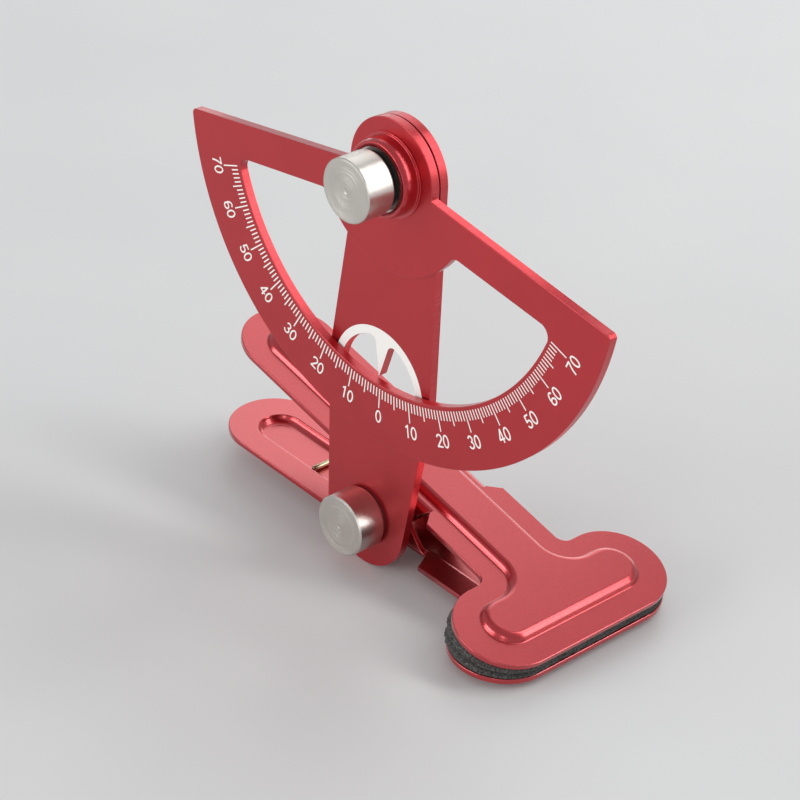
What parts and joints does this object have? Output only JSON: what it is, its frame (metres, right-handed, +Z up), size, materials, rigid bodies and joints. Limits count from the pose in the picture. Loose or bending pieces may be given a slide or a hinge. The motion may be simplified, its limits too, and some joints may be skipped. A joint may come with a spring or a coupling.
{
  "type": "rudder angle gauge",
  "caption": "Sprung T-jaw clip with foam pads, an upright pointer post clamped on its hinge screw and a half-moon degree scale that hangs plumb on a ball bearing.",
  "frame": {"origin": "on the table, under the scale's pivot along X and halfway along the depth (Y)", "axes": "+X along the clip from handle to jaws, +Y from the scale's face back to the clip, +Z up"},
  "size_m": [0.0992, 0.0453, 0.0872],
  "materials": {
    "red_anodised": "satin red anodised",
    "turned_steel": "bright turned",
    "bearing_steel": "polished",
    "cage_brass": "machined",
    "seal_rubber": "matte",
    "zinc_steel": "plated",
    "spring_steel": "drawn wire",
    "foam": "closed-cell foam, matte"
  },
  "bodies": {
    "clip_base": {"lower_jaw": "red_anodised", "lower_foam_pad": "foam", "hinge_screw": "zinc_steel", "hinge_sleeve": "zinc_steel", "hinge_lock_nut": "zinc_steel", "far_washer": "zinc_steel", "bottom_knob_washer": "zinc_steel", "torsion_spring": "spring_steel"},
    "clip_lever": {"upper_jaw": "red_anodised", "upper_foam_pad": "foam"},
    "post": {"pointer_post": "red_anodised", "top_pivot_screw": "zinc_steel", "bearing_inner_race": "bearing_steel", "front_race_spacer": "turned_steel", "rear_race_spacer": "turned_steel"},
    "scale": {"scale_plate": "red_anodised", "scale_hub": "red_anodised", "bearing_outer_race": "bearing_steel", "bearing_front_seal": "seal_rubber", "bearing_rear_seal": "seal_rubber"},
    "ball_set": {"bearing_balls": "bearing_steel", "bearing_cage": "cage_brass"},
    "top_nut": {"top_knob": "turned_steel"},
    "bottom_nut": {"bottom_knob": "turned_steel"}
  },
  "joints": [
    {"name": "jaw_open", "type": "hinge", "parent": "clip_base", "child": "clip_lever", "pos_m": [-0.00408, 0, 0.0095], "axis": [0, -1, 0], "range_deg": [0, 20], "stiffness_Nm_per_rad": 0.1, "springref_deg": -45.84, "deforming": ["torsion_spring"]},
    {"name": "post_tilt", "type": "hinge", "parent": "clip_base", "child": "post", "pos_m": [-0.00408, 0, 0.0095], "axis": [0, 1, 0], "range_deg": [-90, 20]},
    {"name": "scale_swing", "type": "hinge", "parent": "post", "child": "scale", "pos_m": [0, 0, 0.07738], "axis": [0, 1, 0], "continuous": true},
    {"name": "ball_set_roll", "type": "hinge", "parent": "post", "child": "ball_set", "pos_m": [0, 0, 0.07738], "axis": [0, 1, 0], "continuous": true},
    {"name": "top_knob_turn", "type": "hinge", "parent": "post", "child": "top_nut", "pos_m": [0, 0, 0.07738], "axis": [0, -1, 0], "range_deg": [0, 360]},
    {"name": "bottom_knob_turn", "type": "hinge", "parent": "clip_base", "child": "bottom_nut", "pos_m": [-0.00408, 0, 0.0095], "axis": [0, -1, 0], "range_deg": [0, 360]}
  ],
  "couplings": [
    {"joint": "ball_set_roll", "follows": "scale_swing", "ratio": 0.5988}
  ]
}
